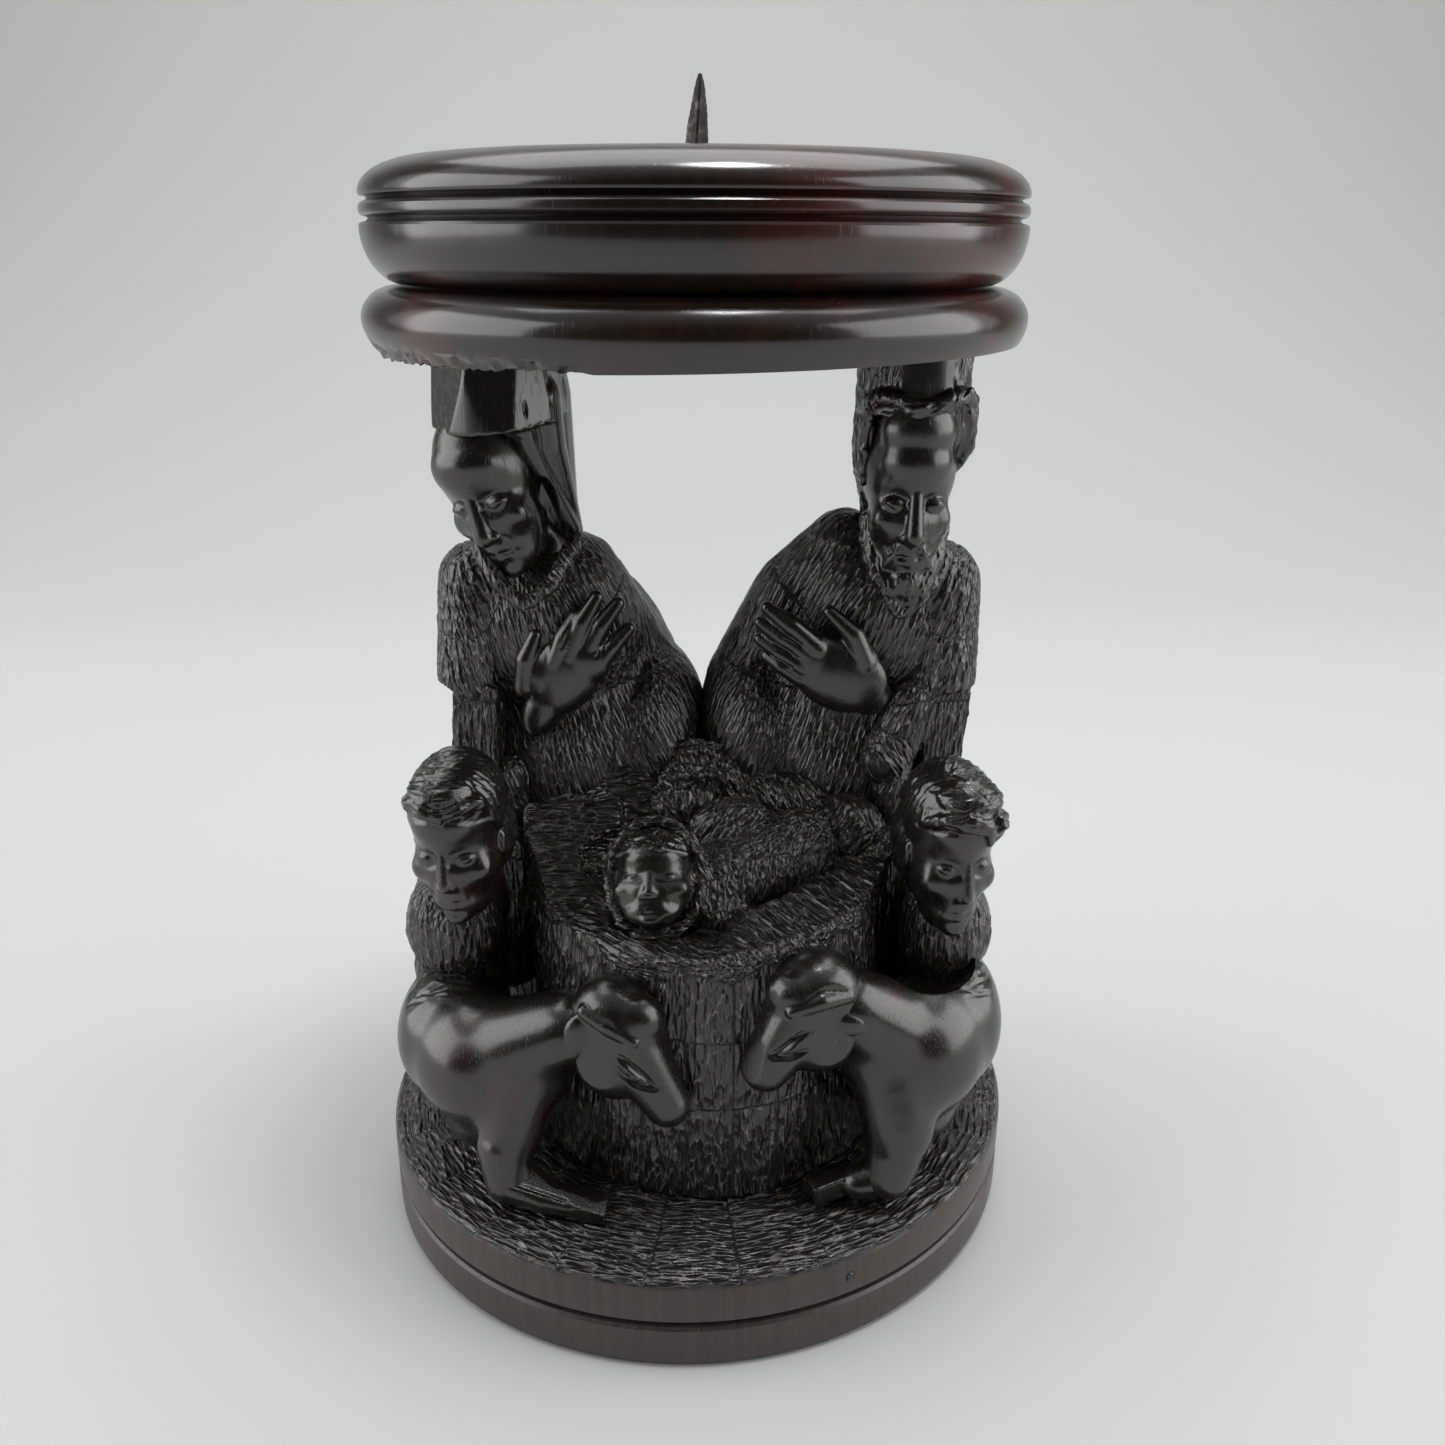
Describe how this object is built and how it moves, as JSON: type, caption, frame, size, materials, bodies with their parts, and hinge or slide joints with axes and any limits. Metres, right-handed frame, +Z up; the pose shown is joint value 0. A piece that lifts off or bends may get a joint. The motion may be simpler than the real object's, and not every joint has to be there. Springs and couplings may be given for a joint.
{
  "type": "carved candle holder",
  "caption": "Carved blackwood candle holder: two kneeling adults over a crib hold up a turned tray with a pricket spike, on a round grooved base.",
  "frame": {"origin": "centre of the underside of the round base", "axes": "+Z up, -Y the front that shows the crib, +X to the right seen from the front"},
  "size_m": [0.1132, 0.114, 0.1884],
  "materials": {
    "polished_blackwood": "carved smooth and wax-polished",
    "chiselled_blackwood": "short gouge cuts, oiled, satin",
    "turned_blackwood": "turned and polished, semi-gloss",
    "edge_band": "turned, sanded, satin",
    "spike_iron": "hand-forged, dark",
    "dowel_wood": "plain, hidden in the joint"
  },
  "bodies": {
    "root": {"base_plinth": "edge_band", "base_ground": "edge_band", "side_plug": "dowel_wood", "woman_face": "polished_blackwood", "man_face": "polished_blackwood", "woman_hand": "polished_blackwood", "man_hand": "polished_blackwood", "woman_veil": "polished_blackwood", "man_hair": "polished_blackwood", "woman_sleeve": "chiselled_blackwood", "man_sleeve": "chiselled_blackwood", "infant_head": "polished_blackwood", "left_child_head": "polished_blackwood", "right_child_head": "polished_blackwood", "left_lamb_head": "polished_blackwood", "right_lamb_head": "polished_blackwood", "left_lamb_foreleg": "polished_blackwood", "right_lamb_foreleg": "polished_blackwood", "left_lamb_body": "polished_blackwood", "right_lamb_body": "polished_blackwood", "infant_wrap": "chiselled_blackwood", "left_child_bust": "chiselled_blackwood", "right_child_bust": "chiselled_blackwood", "crib_hay": "chiselled_blackwood", "crib": "chiselled_blackwood", "woman_robe": "chiselled_blackwood", "man_robe": "chiselled_blackwood", "capital_disc": "turned_blackwood", "tray_dowel": "dowel_wood", "candle_tray": "turned_blackwood", "candle_spike": "spike_iron"}
  },
  "joints": []
}
